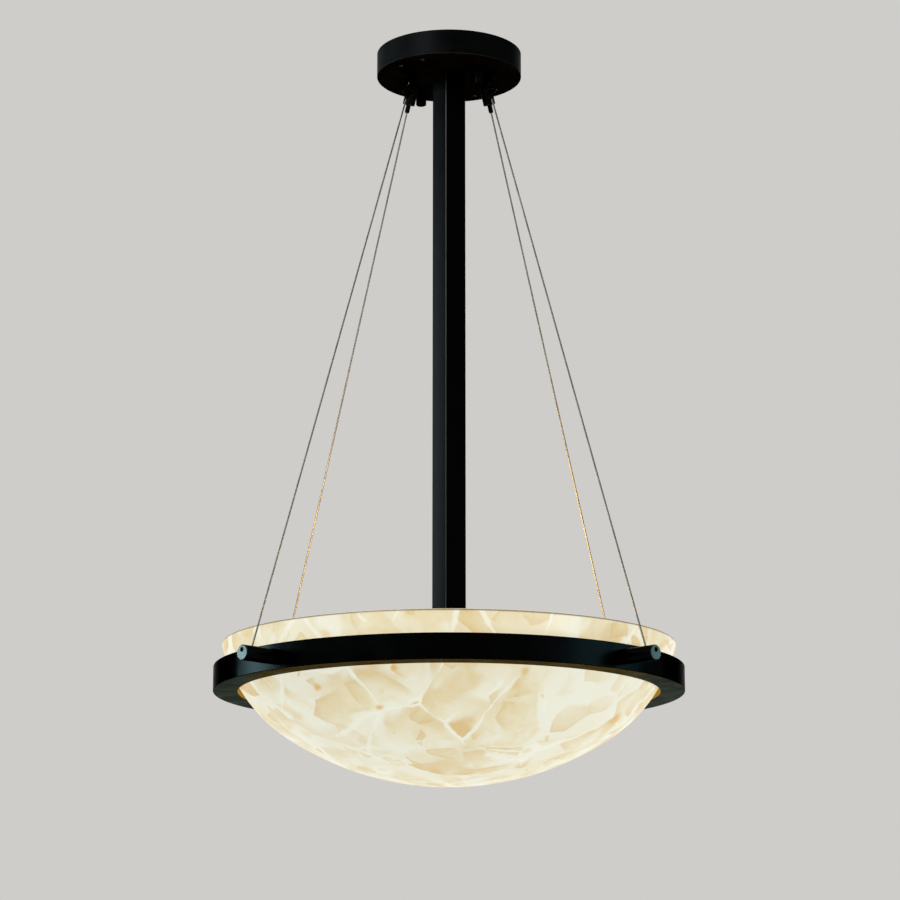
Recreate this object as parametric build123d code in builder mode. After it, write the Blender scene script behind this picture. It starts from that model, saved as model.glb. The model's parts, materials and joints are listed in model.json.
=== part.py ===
from build123d import *
import os
from math import asin, atan2, cos, degrees, pi, radians, sin, sqrt

# Alabaster bowl pendant, in millimetres.
# Origin: centre of the ceiling face of the canopy, on the stem axis. +Z is up, so the pendant
# hangs into negative Z. The viewer stands on the -Y side.

# ---------------------------------------------------------------- driving dimensions
# general clearances
fit_clearance = 0.1            # radial play of a screw or pin in its hole
running_clearance = 0.3        # gap between a moving piece and what it moves against
seat_gap = 0.2                 # gap under a face that can turn or lift

# canopy
canopy_radius = 76.0
canopy_height = 25.5
canopy_wall = 1.5
canopy_edge_radius = 0.6

# load plate inside the canopy, and its screws
load_plate_thickness = 3.0
load_plate_wall_gap = 4.0      # between the plate's rim and the canopy wall
plate_screw_inset = 8.5        # screw axis in from the plate's rim
plate_screw_radius = 1.25
plate_screw_head_radius = 2.3
plate_screw_head_height = 1.4
plate_screw_pair_angle = 27.5  # between the two screws of a pair
plate_screw_pair_centre = 230.0

# crossbar against the ceiling, its studs and nuts
crossbar_angle = 132.0
crossbar_width = 24.0
crossbar_thickness = 2.5
crossbar_end_margin = 13.0
stud_spacing = 88.9
stud_radius = 2.5
box_hole_spacing = 69.85
box_hole_radius = 2.6
wire_hole_radius = 7.0
stud_nut_across_flats = 8.0
stud_nut_height = 4.0
ground_screw_offset = 17.0
ground_screw_radius = 1.9
ground_screw_head_across_flats = 7.0
ground_screw_head_height = 3.0

# thumb nuts below the canopy
collar_radius = 6.85
collar_height = 10.8
thumb_nut_radius = 5.45
thumb_nut_height = 7.8
thumb_nut_bore_depth = 6.0
thumb_nut_edge = 0.7

# square stem
stem_side = 25.4
stem_wall = 1.6
stem_corner_radius = 1.5
stem_turn = 34.5               # degrees about Z
stem_top_rise = 7.0            # how far it stands above the load plate
stem_flange_radius = 27.0
stem_flange_thickness = 3.0
flange_screw_radius = 1.9
flange_screw_head_radius = 3.2
flange_screw_head_height = 2.2
flange_screw_circle_radius = 21.5

# cable grippers: a ball that swivels in the load plate, a body and a release sleeve
gripper_x = 36.0
gripper_y = 12.0
gripper_ball_radius = 8.0
gripper_ball_rise = 2.0        # ball centre above the load plate
gripper_neck_radius = 3.5
gripper_body_radius = 6.4
gripper_body_length = 22.0
gripper_body_edge = 0.8
gripper_cone_length = 7.0
gripper_cone_radius = 5.0      # at the cone's wide upper end
gripper_spring_length = 5.5    # room for the return spring above the jaws
gripper_window_length = 6.0
gripper_window_width = 2.2
gripper_window_turn = 20.0     # degrees from the front, towards the outside
jaw_length = 5.5
gripper_lip_thickness = 2.2
sleeve_radius = 2.45
sleeve_tip_radius = 2.0
sleeve_reach = 8.5             # how far it stands out of the body
sleeve_taper_length = 1.5
sleeve_flange_radius = 3.6
sleeve_flange_height = 2.0
sleeve_travel = 2.5
cable_radius = 0.8
cable_tail = 4.0               # cable above the ball, inside the canopy

# alabaster bowl
rim_drop = 630.4               # ceiling to the bowl's rim
bowl_rim_radius = 229.3
bowl_depth = 141.6
bowl_side_radius = 155.5
bowl_rim_slope = 13.9          # degrees off vertical at the rim
bowl_wall = 12.0
bowl_rim_rounding = 2.0

# ring of angle section below the rim
ring_drop = 24.1               # rim down to the ring's top edge
ring_height = 25.0
ring_leg = 25.0                # width of the flange, from inside edge to outside face
ring_thickness = 3.0
ring_bowl_gap = 2.5            # flange edge to the bowl, at the flange's top face
ring_root_radius = 2.0
ring_edge_radius = 0.6

# pads between ring and bowl
pad_count = 8
pad_height = 9.0
pad_length = 11.5
pad_edge_setback = 0.5
pad_width = 16.0

# pegs that carry the cables
peg_radius = 7.5
peg_length = 39.0
peg_edge = 0.8
peg_cable_inset = 10.5         # cable axis in from the peg's end
cable_seat_depth = 3.0         # cable below the peg's axis
set_screw_rise = 2.8
set_screw_radius = 2.4
set_screw_length = 6.0
set_screw_tip_radius = 1.2
set_screw_tip_length = 1.2
hex_socket_across_flats = 2.5
hex_socket_depth = 2.5
peg_bolt_radius = 3.0
peg_bolt_reach = 14.0          # into the peg
peg_bolt_head_radius = 5.2
peg_bolt_head_height = 3.3
peg_bolt_socket_across_flats = 4.0

# lamp hub at the foot of the stem
hub_drop = 16.0                # rim down to the hub's top face
hub_side = 46.0
hub_height = 32.0
hub_wall = 2.5
hub_corner_radius = 4.0
hub_boss_radius = 3.6
hub_cover_thickness = 2.5
cover_screw_radius = 1.5
cover_screw_length = 9.0
cover_screw_head_radius = 2.8
plug_height = 12.0
nipple_radius = 5.0
nipple_bore_radius = 3.5
nipple_reach = 9.0             # below the hub's top wall
nipple_nut_across_flats = 14.0
nipple_nut_height = 3.5
stem_cable_radius = 3.0
stem_cable_tail = 5.0          # cable past each end of its run

# sockets and lamps
socket_radius = 13.5
socket_length = 30.0
socket_shank_radius = 8.0
socket_shank_length = 8.0
socket_nut_across_flats = 20.0
socket_nut_height = 3.0
socket_bore_depth = 20.0
socket_wire_radius = 2.0
socket_edge = 1.0
lamp_cap_radius = 7.0
lamp_neck_radius = 9.5
lamp_neck_length = 9.0
lamp_globe_radius = 22.5
lamp_globe_wall = 1.2

# wire connectors lying on the load plate
connector_count = 3
connector_radius = 4.6
connector_tip_radius = 2.6
connector_length = 20.0
connector_pitch = 12.5
connector_wall_gap = 20.5      # between the connectors' far end and the canopy wall

# ---------------------------------------------------------------- derived places
canopy_bottom_z = -canopy_height
load_plate_z = canopy_bottom_z + canopy_wall
load_plate_top_z = load_plate_z + load_plate_thickness
load_plate_radius = canopy_radius - canopy_wall - load_plate_wall_gap
plate_screw_circle = load_plate_radius - plate_screw_inset
plate_screw_angles = [
    plate_screw_pair_centre + side * plate_screw_pair_angle / 2 + turn
    for turn in (0, 180)
    for side in (-1, 1)
]
stem_inside = stem_side - 2 * stem_wall
stem_hole_side = stem_side + 2 * fit_clearance
stem_top_z = load_plate_top_z + stem_top_rise
stem_flange_top_z = load_plate_top_z + stem_flange_thickness
ball_centre_z = load_plate_top_z + gripper_ball_rise
ball_section_radius = sqrt(gripper_ball_radius**2 - (ball_centre_z - load_plate_z) ** 2)
stud_length = canopy_height + collar_height + thumb_nut_bore_depth - 1

rim_z = -rim_drop
bowl_bottom_z = rim_z - bowl_depth
ring_top_z = rim_z - ring_drop
ring_bottom_z = ring_top_z - ring_height
flange_top_z = ring_bottom_z + ring_thickness
peg_z = (ring_top_z + ring_bottom_z) / 2

# The bowl's outline: a side arc that is tangent to a bottom arc centred on the axis.
side_centre_r = bowl_rim_radius - bowl_side_radius * cos(radians(bowl_rim_slope))
side_centre_z = rim_z + bowl_side_radius * sin(radians(bowl_rim_slope))
side_centre_height = side_centre_z - bowl_bottom_z
bottom_radius = (side_centre_r**2 + side_centre_height**2 - bowl_side_radius**2) / (
    2 * (side_centre_height - bowl_side_radius)
)
bottom_centre_z = bowl_bottom_z + bottom_radius
tangent_angle = atan2(side_centre_z - bottom_centre_z, side_centre_r)


def bowl_outer_radius(z):
    """Radius of the bowl's outside at a height on its side arc."""
    return side_centre_r + sqrt(bowl_side_radius**2 - (z - side_centre_z) ** 2)


flange_inner_radius = bowl_outer_radius(flange_top_z) + ring_bowl_gap
ring_outer_radius = flange_inner_radius + ring_leg
band_inner_radius = ring_outer_radius - ring_thickness
peg_end_radius = ring_outer_radius + peg_length
peg_cable_radius = peg_end_radius - peg_cable_inset

hub_top_z = rim_z - hub_drop
hub_bottom_z = hub_top_z - hub_height
hub_centre_z = (hub_top_z + hub_bottom_z) / 2
hub_half = hub_side / 2
hub_inner_half = hub_half - hub_wall
boss_circle_radius = (hub_inner_half - hub_boss_radius / 2) * sqrt(2)
nipple_bottom_z = hub_top_z - hub_wall - nipple_reach
lamp_angles = [stem_turn + 90 * step for step in range(4)]

corner_names = {
    "front_left": (-1, -1),
    "front_right": (1, -1),
    "back_left": (-1, 1),
    "back_right": (1, 1),
}


# ---------------------------------------------------------------- helpers
def keep(part, label):
    """Label one sub-part and write it to its own file."""
    part.label = label
    export_step(part, f"parts/{label}.step")


def upright(angle, z=0):
    """Plane through the Z axis: local X points outwards at the angle, local Y points up."""
    turn = radians(angle)
    return Plane(origin=(0, 0, z), x_dir=(cos(turn), sin(turn), 0), z_dir=(sin(turn), -cos(turn), 0))


def radial_axis(angle, z):
    """Axis that runs outwards at the angle, at height z."""
    turn = radians(angle)
    return Axis((0, 0, z), (cos(turn), sin(turn), 0))


def on_circle(radius, angle, z=0):
    """Point at a radius and an angle about Z."""
    return Vector(radius * cos(radians(angle)), radius * sin(radians(angle)), z)


def hex_radius(across_flats):
    """Corner radius of a hexagon from its width across flats."""
    return across_flats / 2 / cos(pi / 6)


def ball_centre(name):
    """Centre of a gripper's ball."""
    x_sign, y_sign = corner_names[name]
    return Vector(x_sign * gripper_x, y_sign * gripper_y, ball_centre_z)


def peg_point(name):
    """Where a cable crosses the axis of its peg."""
    x_sign, y_sign = corner_names[name]
    return on_circle(peg_cable_radius, degrees(atan2(y_sign, x_sign)), peg_z)


def cable_direction(name):
    """Unit vector down the cable, from gripper to peg."""
    return (peg_point(name) - ball_centre(name)).normalized()


def cable_plane(name):
    """Plane through a cable: local origin at the ball, local Y down the cable."""
    down = cable_direction(name)
    side = down.cross(Vector(0, 0, 1)).normalized()
    return Plane(origin=ball_centre(name), x_dir=side, z_dir=side.cross(down))


def cable_axis(name):
    """Axis down the cable, from the gripper's ball."""
    return Axis(ball_centre(name), cable_direction(name))


def window_plane(name, distance):
    """Plane down the cable from the ball: local X runs down the cable, the normal faces the front."""
    down = cable_direction(name)
    turn = radians(gripper_window_turn)
    front = Vector(corner_names[name][0] * sin(turn), -cos(turn), 0)
    facing = (front - down * front.dot(down)).normalized()
    return Plane(origin=ball_centre(name) + down * distance, x_dir=down, z_dir=facing)


def cable_length(name):
    """Ball centre to peg axis, along the cable."""
    return (peg_point(name) - ball_centre(name)).length


def bowl_outline(inset, top_z):
    """Closed half outline of the bowl's body, inset from its outside and cut flat at top_z."""
    side = bowl_side_radius - inset
    bottom = bottom_radius - inset
    top_turn = asin((top_z - side_centre_z) / side)
    top = (side_centre_r + side * cos(top_turn), top_z)
    mid_turn = (top_turn + tangent_angle) / 2
    mid = (side_centre_r + side * cos(mid_turn), side_centre_z + side * sin(mid_turn))
    joint = (bottom * cos(tangent_angle), bottom_centre_z + bottom * sin(tangent_angle))
    low_turn = (tangent_angle - pi / 2) / 2
    low = (bottom * cos(low_turn), bottom_centre_z + bottom * sin(low_turn))
    foot = (0, bottom_centre_z - bottom)
    ThreePointArc(top, mid, joint)
    ThreePointArc(joint, low, foot)
    Line(foot, (0, top_z))
    Line((0, top_z), top)


os.makedirs("parts", exist_ok=True)

# ---------------------------------------------------------------- canopy
with BuildPart() as canopy:
    with BuildSketch(Plane.XZ):
        with BuildLine():
            Polyline(
                (0, canopy_bottom_z),
                (canopy_radius, canopy_bottom_z),
                (canopy_radius, 0),
                (canopy_radius - canopy_wall, 0),
                (canopy_radius - canopy_wall, load_plate_z),
                (0, load_plate_z),
                close=True,
            )
        make_face()
    revolve(axis=Axis.Z)
    rim_edges = canopy.edges().filter_by(GeomType.CIRCLE).group_by(Axis.Z)[0]
    fillet(rim_edges, canopy_edge_radius)
    with BuildSketch(Plane.XY.offset(canopy_bottom_z)):
        Rectangle(stem_hole_side, stem_hole_side, rotation=stem_turn)
        for angle in plate_screw_angles:
            with Locations(on_circle(plate_screw_circle, angle)):
                Circle(plate_screw_radius + fit_clearance)
        with PolarLocations(stud_spacing / 2, 2, crossbar_angle):
            Circle(stud_radius + fit_clearance)
    extrude(amount=canopy_wall, mode=Mode.SUBTRACT)
    with BuildSketch(Plane.XY.offset(canopy_bottom_z)):
        with GridLocations(2 * gripper_x, 2 * gripper_y, 2, 2):
            Circle(ball_section_radius + running_clearance)
    extrude(amount=canopy_wall, mode=Mode.SUBTRACT)
keep(canopy.part, "canopy")

with BuildPart() as load_plate:
    with BuildSketch(Plane.XY.offset(load_plate_z)):
        Circle(load_plate_radius)
        Rectangle(stem_hole_side, stem_hole_side, rotation=stem_turn, mode=Mode.SUBTRACT)
        for angle in plate_screw_angles:
            with Locations(on_circle(plate_screw_circle, angle)):
                Circle(plate_screw_radius + fit_clearance, mode=Mode.SUBTRACT)
        with PolarLocations(stud_spacing / 2, 2, crossbar_angle):
            Circle(stud_radius + fit_clearance, mode=Mode.SUBTRACT)
        with PolarLocations(flange_screw_circle_radius, 4, stem_turn):
            Circle(flange_screw_radius + fit_clearance, mode=Mode.SUBTRACT)
    extrude(amount=load_plate_thickness)
    with Locations(*[ball_centre(name) for name in corner_names]):
        Sphere(gripper_ball_radius + fit_clearance, mode=Mode.SUBTRACT)
keep(load_plate.part, "load_plate")

with BuildPart() as plate_screws:
    for angle in plate_screw_angles:
        place = on_circle(plate_screw_circle, angle)
        with BuildSketch(Plane.XY.offset(canopy_bottom_z)):
            with Locations((place.X, place.Y)):
                Circle(plate_screw_head_radius)
        extrude(amount=-plate_screw_head_height, taper=18)
        with BuildSketch(Plane.XY.offset(canopy_bottom_z)):
            with Locations((place.X, place.Y)):
                Circle(plate_screw_radius)
        extrude(amount=canopy_wall + load_plate_thickness)
        slot_plane = Plane(
            origin=(place.X, place.Y, canopy_bottom_z - plate_screw_head_height), z_dir=(0, 0, 1)
        )
        with BuildSketch(slot_plane):
            Rectangle(plate_screw_head_radius, 0.6)
            Rectangle(0.6, plate_screw_head_radius)
        extrude(amount=plate_screw_head_height / 2, mode=Mode.SUBTRACT)
keep(plate_screws.part, "plate_screws")

# ---------------------------------------------------------------- crossbar, studs and thumb nuts
crossbar_length = stud_spacing + 2 * crossbar_end_margin
crossbar_plane = Plane(
    origin=(0, 0, -crossbar_thickness), x_dir=on_circle(1, crossbar_angle), z_dir=(0, 0, 1)
)

with BuildPart() as crossbar:
    with BuildSketch(crossbar_plane):
        SlotOverall(crossbar_length, crossbar_width)
        Circle(wire_hole_radius, mode=Mode.SUBTRACT)
        with GridLocations(box_hole_spacing, 0, 2, 1):
            Circle(box_hole_radius, mode=Mode.SUBTRACT)
        with GridLocations(stud_spacing, 0, 2, 1):
            Circle(stud_radius + fit_clearance, mode=Mode.SUBTRACT)
        with Locations((ground_screw_offset, 0)):
            Circle(ground_screw_radius + fit_clearance, mode=Mode.SUBTRACT)
    extrude(amount=crossbar_thickness)
keep(crossbar.part, "crossbar")

with BuildPart() as crossbar_studs:
    with BuildSketch():
        with PolarLocations(stud_spacing / 2, 2, crossbar_angle):
            Circle(stud_radius)
    extrude(amount=-stud_length)
keep(crossbar_studs.part, "crossbar_studs")

with BuildPart() as stud_nuts:
    with BuildSketch(Plane.XY.offset(-crossbar_thickness)):
        with PolarLocations(stud_spacing / 2, 2, crossbar_angle):
            RegularPolygon(hex_radius(stud_nut_across_flats), 6)
            Circle(stud_radius + fit_clearance, mode=Mode.SUBTRACT)
    extrude(amount=-stud_nut_height)
keep(stud_nuts.part, "stud_nuts")

with BuildPart() as ground_screw:
    with BuildSketch(crossbar_plane):
        with Locations((ground_screw_offset, 0)):
            RegularPolygon(hex_radius(ground_screw_head_across_flats), 6)
    extrude(amount=-ground_screw_head_height)
    with BuildSketch(crossbar_plane):
        with Locations((ground_screw_offset, 0)):
            Circle(ground_screw_radius)
    extrude(amount=crossbar_thickness)
keep(ground_screw.part, "ground_screw")

with BuildPart() as stud_collars:
    with BuildSketch(Plane.XY.offset(canopy_bottom_z)):
        with PolarLocations(stud_spacing / 2, 2, crossbar_angle):
            Circle(collar_radius)
            Circle(stud_radius + fit_clearance, mode=Mode.SUBTRACT)
    extrude(amount=-collar_height)
    chamfer(stud_collars.edges().filter_by(GeomType.CIRCLE).group_by(Axis.Z)[0], fit_clearance)
keep(stud_collars.part, "stud_collars")

thumb_nut_top_z = canopy_bottom_z - collar_height - seat_gap
for name, angle in (("thumb_nut_back", crossbar_angle), ("thumb_nut_front", crossbar_angle + 180)):
    nut_centre = on_circle(stud_spacing / 2, angle, thumb_nut_top_z)
    with BuildPart() as thumb_nut:
        with BuildSketch(Plane(origin=nut_centre)):
            Circle(thumb_nut_radius)
        extrude(amount=-thumb_nut_height)
        chamfer(thumb_nut.faces().sort_by(Axis.Z)[0].edges(), thumb_nut_edge)
        with BuildSketch(Plane(origin=nut_centre)):
            Circle(stud_radius + running_clearance)
        extrude(amount=-thumb_nut_bore_depth, mode=Mode.SUBTRACT)
    keep(thumb_nut.part, name)

# ---------------------------------------------------------------- stem
with BuildPart() as stem_tube:
    with BuildSketch(Plane.XY.offset(hub_top_z)):
        RectangleRounded(stem_side, stem_side, stem_corner_radius, rotation=stem_turn)
        Rectangle(stem_inside, stem_inside, rotation=stem_turn, mode=Mode.SUBTRACT)
    extrude(amount=stem_top_z - hub_top_z)
keep(stem_tube.part, "stem_tube")

with BuildPart() as stem_flange:
    with BuildSketch(Plane.XY.offset(load_plate_top_z)):
        Circle(stem_flange_radius)
        Rectangle(stem_hole_side, stem_hole_side, rotation=stem_turn, mode=Mode.SUBTRACT)
        with PolarLocations(flange_screw_circle_radius, 4, stem_turn):
            Circle(flange_screw_radius + fit_clearance, mode=Mode.SUBTRACT)
    extrude(amount=stem_flange_thickness)
keep(stem_flange.part, "stem_flange")

with BuildPart() as flange_screws:
    with BuildSketch(Plane.XY.offset(load_plate_z)):
        with PolarLocations(flange_screw_circle_radius, 4, stem_turn):
            Circle(flange_screw_radius)
    extrude(amount=load_plate_thickness + stem_flange_thickness)
    with BuildSketch(Plane.XY.offset(stem_flange_top_z)):
        with PolarLocations(flange_screw_circle_radius, 4, stem_turn):
            Circle(flange_screw_head_radius)
    extrude(amount=flange_screw_head_height, taper=15)
keep(flange_screws.part, "flange_screws")

with BuildPart() as stem_plug:
    with BuildSketch(Plane.XY.offset(hub_top_z)):
        Rectangle(stem_inside - 2 * fit_clearance, stem_inside - 2 * fit_clearance, rotation=stem_turn)
        Circle(nipple_radius + fit_clearance, mode=Mode.SUBTRACT)
    extrude(amount=plug_height)
keep(stem_plug.part, "stem_plug")

with BuildPart() as nipple:
    with BuildSketch(Plane.XY.offset(nipple_bottom_z)):
        Circle(nipple_radius)
        Circle(nipple_bore_radius, mode=Mode.SUBTRACT)
    extrude(amount=hub_top_z + plug_height - nipple_bottom_z)
keep(nipple.part, "nipple")

with BuildPart() as nipple_nut:
    with BuildSketch(Plane.XY.offset(hub_top_z - hub_wall)):
        RegularPolygon(hex_radius(nipple_nut_across_flats), 6)
        Circle(nipple_radius + fit_clearance, mode=Mode.SUBTRACT)
    extrude(amount=-nipple_nut_height)
keep(nipple_nut.part, "nipple_nut")

with BuildPart() as stem_cable:
    with BuildSketch(Plane.XY.offset(nipple_bottom_z - stem_cable_tail)):
        Circle(stem_cable_radius)
    extrude(amount=stem_top_z - nipple_bottom_z + 2 * stem_cable_tail)
keep(stem_cable.part, "stem_cable")

with BuildPart() as wire_connectors:
    for step in range(connector_count):
        x = (step - (connector_count - 1) / 2) * connector_pitch
        y = connector_length + connector_wall_gap + canopy_wall - canopy_radius
        z = load_plate_top_z + connector_radius + fit_clearance
        near = (x, y, z)
        with BuildSketch(Plane(origin=near, x_dir=(1, 0, 0), z_dir=(0, 0, 1))):
            with BuildLine():
                Polyline(
                    (0, 0),
                    (connector_radius, 0),
                    (connector_radius, -connector_length / 3),
                    (connector_tip_radius, -connector_length),
                    (0, -connector_length),
                    close=True,
                )
            make_face()
        revolve(axis=Axis(near, (0, 1, 0)))
keep(wire_connectors.part, "wire_connectors")

# ---------------------------------------------------------------- cables and grippers
for name in corner_names:
    down = cable_direction(name)
    lean = sqrt(1 - down.Z**2)
    drop = ball_centre_z - canopy_bottom_z
    body_top = (drop + running_clearance + gripper_body_radius * lean) / -down.Z
    body_end = body_top + gripper_body_length
    flange_end = body_end - gripper_lip_thickness - seat_gap
    flange_start = flange_end - sleeve_flange_height
    cone_end = flange_start - seat_gap
    cone_start = cone_end - gripper_cone_length
    spring_start = cone_start - gripper_spring_length
    chamber_radius = sleeve_flange_radius + running_clearance
    cone_growth = (gripper_cone_radius - chamber_radius) / gripper_cone_length
    jaw_foot_radius = chamber_radius - fit_clearance
    jaw_top_radius = jaw_foot_radius + cone_growth * jaw_length
    mouth_radius = sleeve_radius + running_clearance
    bore_radius = cable_radius + fit_clearance
    plane = cable_plane(name)

    with BuildPart() as gripper:
        with Locations(ball_centre(name)):
            Sphere(gripper_ball_radius)
        with BuildSketch(plane):
            with BuildLine():
                Polyline(
                    (0, 0),
                    (gripper_neck_radius, 0),
                    (gripper_neck_radius, body_top),
                    (gripper_body_radius - gripper_body_edge, body_top),
                    (gripper_body_radius, body_top + gripper_body_edge),
                    (gripper_body_radius, body_end - gripper_body_edge),
                    (gripper_body_radius - gripper_body_edge, body_end),
                    (0, body_end),
                    close=True,
                )
            make_face()
        revolve(axis=cable_axis(name))
        with BuildSketch(plane):
            with BuildLine():
                Polyline(
                    (0, -2 * gripper_ball_radius),
                    (bore_radius, -2 * gripper_ball_radius),
                    (bore_radius, spring_start),
                    (gripper_cone_radius, spring_start),
                    (gripper_cone_radius, cone_start),
                    (chamber_radius, cone_end),
                    (chamber_radius, body_end - gripper_lip_thickness),
                    (mouth_radius, body_end - gripper_lip_thickness),
                    (mouth_radius, body_end + 1),
                    (0, body_end + 1),
                    close=True,
                )
            make_face()
        revolve(axis=cable_axis(name), mode=Mode.SUBTRACT)
        with BuildSketch(window_plane(name, cone_end - jaw_length / 2)):
            SlotOverall(gripper_window_length, gripper_window_width)
        extrude(amount=gripper_body_radius + 1, mode=Mode.SUBTRACT)
    keep(gripper.part, f"gripper_body_{name}")

    with BuildPart() as jaws:
        with BuildSketch(plane):
            with BuildLine():
                Polyline(
                    (cable_radius + running_clearance, cone_end),
                    (jaw_foot_radius, cone_end),
                    (jaw_top_radius, cone_end - jaw_length),
                    (cable_radius + running_clearance, cone_end - jaw_length),
                    close=True,
                )
            make_face()
        revolve(axis=cable_axis(name))
    keep(jaws.part, f"gripper_jaws_{name}")

    with BuildPart() as sleeve:
        with BuildSketch(plane):
            with BuildLine():
                Polyline(
                    (cable_radius + running_clearance, flange_start),
                    (sleeve_flange_radius, flange_start),
                    (sleeve_flange_radius, flange_end),
                    (sleeve_radius, flange_end),
                    (sleeve_radius, body_end + sleeve_reach - sleeve_taper_length),
                    (sleeve_tip_radius, body_end + sleeve_reach),
                    (cable_radius + running_clearance, body_end + sleeve_reach),
                    close=True,
                )
            make_face()
        revolve(axis=cable_axis(name))
    keep(sleeve.part, f"gripper_sleeve_{name}")

    cable_start = ball_centre(name) - down * (gripper_ball_radius + cable_tail)
    whole_length = gripper_ball_radius + cable_tail + cable_length(name) + cable_seat_depth
    with BuildPart() as cable:
        with BuildSketch(Plane(origin=cable_start, z_dir=down)):
            Circle(cable_radius)
        extrude(amount=whole_length)
    keep(cable.part, f"cable_{name}")
    print(f"cable_{name}: {whole_length:.1f} mm long")

# ---------------------------------------------------------------- ring, pegs and pads
with BuildPart() as ring:
    with BuildSketch(Plane.XZ) as ring_section:
        with BuildLine():
            Polyline(
                (flange_inner_radius, ring_bottom_z),
                (ring_outer_radius, ring_bottom_z),
                (ring_outer_radius, ring_top_z),
                (band_inner_radius, ring_top_z),
                (band_inner_radius, flange_top_z),
                (flange_inner_radius, flange_top_z),
                close=True,
            )
        make_face()
        corners = ring_section.vertices().sort_by_distance((band_inner_radius, flange_top_z, 0))
        fillet(corners[1:], ring_edge_radius)
        corners = ring_section.vertices().sort_by_distance((band_inner_radius, flange_top_z, 0))
        fillet(corners[0], ring_root_radius)
    revolve(axis=Axis.Z)
    for name in corner_names:
        outwards = Vector(*corner_names[name], 0).normalized()
        with BuildSketch(Plane(origin=Vector(0, 0, peg_z), z_dir=outwards)):
            Circle(peg_bolt_radius + fit_clearance)
        extrude(amount=ring_outer_radius + 1, mode=Mode.SUBTRACT)
keep(ring.part, "ring")

for name in corner_names:
    x_sign, y_sign = corner_names[name]
    angle = degrees(atan2(y_sign, x_sign))
    outwards = on_circle(1, angle)
    down = cable_direction(name)
    with BuildPart() as peg:
        with BuildSketch(upright(angle, peg_z)):
            with BuildLine():
                Polyline(
                    (ring_outer_radius - ring_thickness, 0),
                    (ring_outer_radius - ring_thickness, peg_radius),
                    (peg_end_radius - peg_edge, peg_radius),
                    (peg_end_radius, peg_radius - peg_edge),
                    (peg_end_radius, 0),
                    close=True,
                )
            make_face()
        revolve(axis=radial_axis(angle, peg_z))
        with BuildSketch(Plane.XY.offset(peg_z - peg_radius - 1)):
            Circle(ring_outer_radius)
        extrude(amount=2 * peg_radius + 2, mode=Mode.SUBTRACT)
        with BuildSketch(Plane(origin=outwards * band_inner_radius + Vector(0, 0, peg_z), z_dir=outwards)):
            Circle(peg_bolt_radius + fit_clearance)
        extrude(amount=ring_thickness + peg_bolt_reach + 1, mode=Mode.SUBTRACT)
        screw_mouth = outwards * peg_end_radius + Vector(0, 0, peg_z + set_screw_rise)
        with BuildSketch(Plane(origin=screw_mouth, z_dir=outwards)):
            Circle(set_screw_radius + fit_clearance)
        extrude(amount=-peg_cable_inset, mode=Mode.SUBTRACT)
        cable_mouth = peg_point(name) - down * (2 * peg_radius)
        with BuildSketch(Plane(origin=cable_mouth, z_dir=down)):
            Circle(cable_radius + fit_clearance)
        extrude(amount=2 * peg_radius + cable_seat_depth + fit_clearance, mode=Mode.SUBTRACT)
    keep(peg.part, f"peg_{name}")

bolt_seat = sqrt(band_inner_radius**2 - peg_bolt_head_radius**2)
with BuildPart() as peg_bolts:
    for x_sign, y_sign in corner_names.values():
        outwards = Vector(x_sign, y_sign, 0).normalized()
        head_end = Plane(
            origin=outwards * (bolt_seat - peg_bolt_head_height) + Vector(0, 0, peg_z), z_dir=outwards
        )
        with BuildSketch(head_end):
            Circle(peg_bolt_head_radius)
        extrude(amount=peg_bolt_head_height)
        with BuildSketch(head_end):
            Circle(peg_bolt_radius)
        extrude(amount=peg_bolt_head_height + ring_thickness + peg_bolt_reach)
        with BuildSketch(head_end):
            RegularPolygon(hex_radius(peg_bolt_socket_across_flats), 6)
        extrude(amount=peg_bolt_head_height / 2, mode=Mode.SUBTRACT)
keep(peg_bolts.part, "peg_bolts")

with BuildPart() as set_screws:
    for name, (x_sign, y_sign) in corner_names.items():
        outwards = Vector(x_sign, y_sign, 0).normalized()
        down = cable_direction(name)
        low_rise = set_screw_rise - set_screw_tip_radius
        contact = peg_point(name) + down * (low_rise / down.Z)
        tip_radius = contact.dot(outwards) + cable_radius / -down.Z + fit_clearance
        tip = Plane(
            origin=outwards * tip_radius + Vector(0, 0, peg_z + set_screw_rise), z_dir=outwards
        )
        with BuildSketch(tip):
            Circle(set_screw_tip_radius)
        extrude(amount=set_screw_tip_length)
        with BuildSketch(tip.offset(set_screw_tip_length)):
            Circle(set_screw_radius)
        extrude(amount=set_screw_length - set_screw_tip_length)
        with BuildSketch(tip.offset(set_screw_length)):
            RegularPolygon(hex_radius(hex_socket_across_flats), 6)
        extrude(amount=-hex_socket_depth, mode=Mode.SUBTRACT)
keep(set_screws.part, "set_screws")

pad_half_angle = degrees(pad_width / 2 / flange_inner_radius)
with BuildPart() as bowl_pads:
    for step in range(pad_count):
        pad_angle = (step + 0.5) * 360 / pad_count
        with BuildSketch(upright(pad_angle - pad_half_angle)):
            with Locations((flange_inner_radius + pad_edge_setback, flange_top_z)):
                Rectangle(pad_length, pad_height, align=(Align.MIN, Align.MIN))
        revolve(axis=Axis.Z, revolution_arc=2 * pad_half_angle)
    with BuildSketch(Plane.XZ):
        with BuildLine():
            bowl_outline(-running_clearance, rim_z)
        make_face()
    revolve(axis=Axis.Z, mode=Mode.SUBTRACT)
keep(bowl_pads.part, "bowl_pads")

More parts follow.
